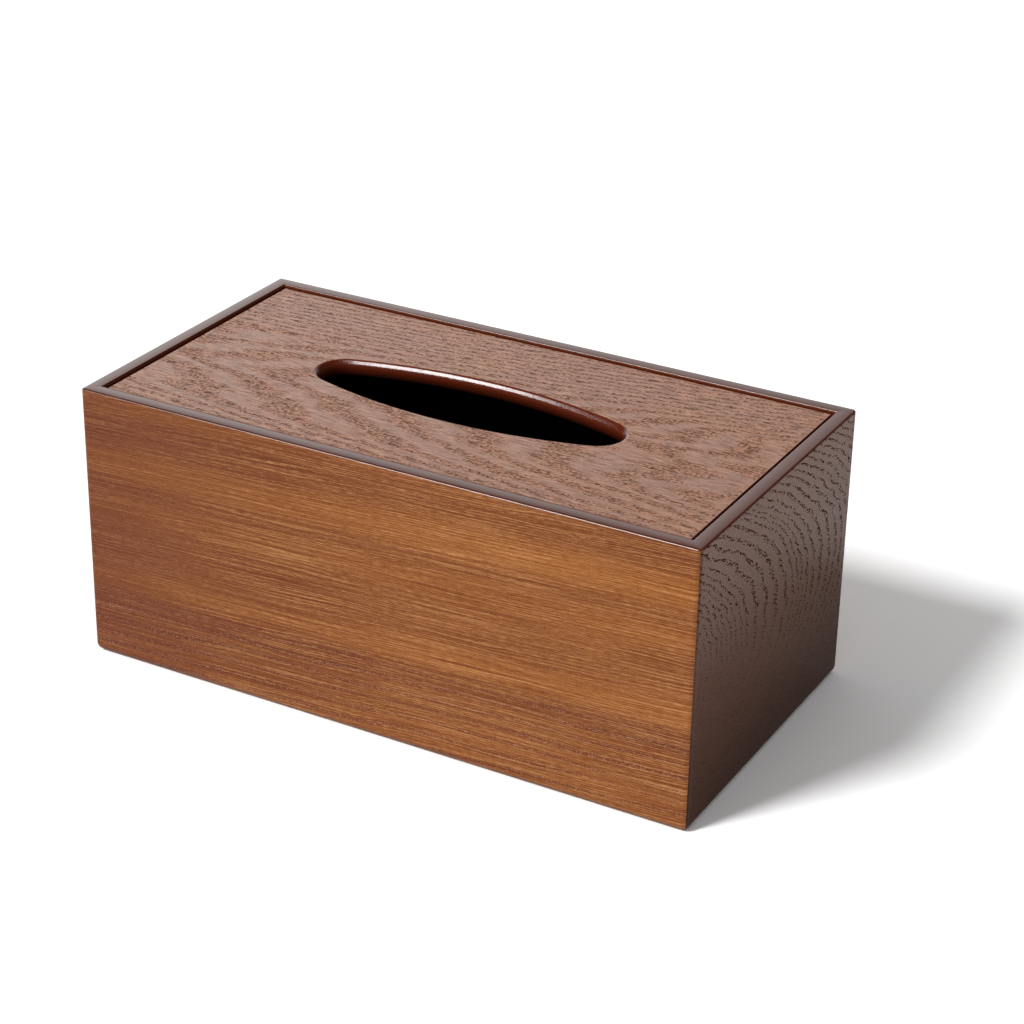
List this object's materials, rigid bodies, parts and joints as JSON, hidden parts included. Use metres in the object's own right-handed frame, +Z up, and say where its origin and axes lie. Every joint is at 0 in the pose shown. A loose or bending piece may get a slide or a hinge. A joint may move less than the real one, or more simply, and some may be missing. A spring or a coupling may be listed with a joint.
{
  "type": "tissue box cover",
  "caption": "Long wooden case with mitred corners and a loose drop-in lid whose boat-shaped slot lets facial tissues be drawn from a carton inside.",
  "frame": {"origin": "middle of the case's footprint, on the surface that it stands on", "axes": "+X along the length, -Y towards the front, +Z up"},
  "size_m": [0.26, 0.136, 0.113],
  "materials": {
    "side_veneer": "stained veneer, satin lacquer",
    "end_veneer": "stained open-pored veneer, satin lacquer",
    "lid_veneer": "stained open-pored veneer, satin lacquer",
    "base_board": "stained board",
    "ledge_wood": "dark stain"
  },
  "bodies": {
    "case": {"front_wall": "side_veneer", "back_wall": "side_veneer", "left_end_wall": "end_veneer", "right_end_wall": "end_veneer", "base_panel": "base_board", "front_ledge": "ledge_wood", "back_ledge": "ledge_wood", "left_ledge": "ledge_wood", "right_ledge": "ledge_wood"},
    "lid": {"lid": "lid_veneer"}
  },
  "joints": [
    {"name": "lid_lift", "type": "slide", "parent": "case", "child": "lid", "axis": [0, 0, 1], "range_m": [0, 0.05]}
  ]
}
